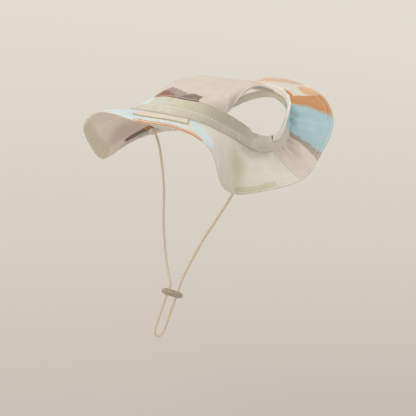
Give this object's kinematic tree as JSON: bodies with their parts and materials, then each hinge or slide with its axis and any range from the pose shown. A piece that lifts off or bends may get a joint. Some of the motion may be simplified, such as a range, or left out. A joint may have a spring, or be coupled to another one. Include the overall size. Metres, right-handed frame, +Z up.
{
  "type": "sun hat",
  "caption": "Soft cloth sun hat with a limp wide brim, gathered neck flap, crown open at the back, small blank label and a chin cord with a sliding stopper.",
  "frame": {"origin": "centre of the head opening, at the height of its mean line front to back", "axes": "-Y to the hat's front, +X to the wearer's left, +Z up; the chin cord hangs along -Z"},
  "size_m": [0.2424, 0.2727, 0.2921],
  "materials": {
    "print_cloth": "matt printed cotton",
    "lining_cloth": "matt cotton lining",
    "flap_cloth": "matt printed cotton",
    "wall_cloth": "matt printed cotton",
    "inner_cloth": "matt cotton lining",
    "casing_cloth": "matt cotton strip",
    "crown_cloth": "matt printed cotton",
    "band_cloth": "matt gathered cotton",
    "elastic": "ribbed elastic",
    "label": "woven label, blank",
    "label_edge": "woven piping",
    "cord": "braided round cord",
    "stopper": "smooth moulded plastic"
  },
  "bodies": {
    "hat": {"front_brim_outer": "print_cloth", "front_brim_lining": "lining_cloth", "back_flap_outer": "flap_cloth", "back_flap_lining": "lining_cloth", "wall_strip": "wall_cloth", "wall_lining": "inner_cloth", "casing_strip": "casing_cloth", "back_casing_strip": "flap_cloth", "crown_panel": "crown_cloth", "crown_lining": "inner_cloth", "crown_rear_facing": "crown_cloth", "back_band_casing": "band_cloth", "back_elastic": "elastic", "label_patch": "label", "label_backing": "label_edge", "cord_tab_left": "band_cloth", "cord_tab_right": "band_cloth"},
    "chin_loop": {"chin_cord": "cord"},
    "stopper": {"cord_stopper": "stopper"}
  },
  "joints": [
    {"name": "chin_cord_swing", "type": "hinge", "parent": "hat", "child": "chin_loop", "pos_m": [0, -0.015, -0.036], "axis": [0.9911, 0, 0.133], "range_deg": [-35, 50]},
    {"name": "stopper_slide", "type": "slide", "parent": "chin_loop", "child": "stopper", "axis": [-0.1961, 0, -0.9806], "range_m": [0, 0.03]}
  ]
}
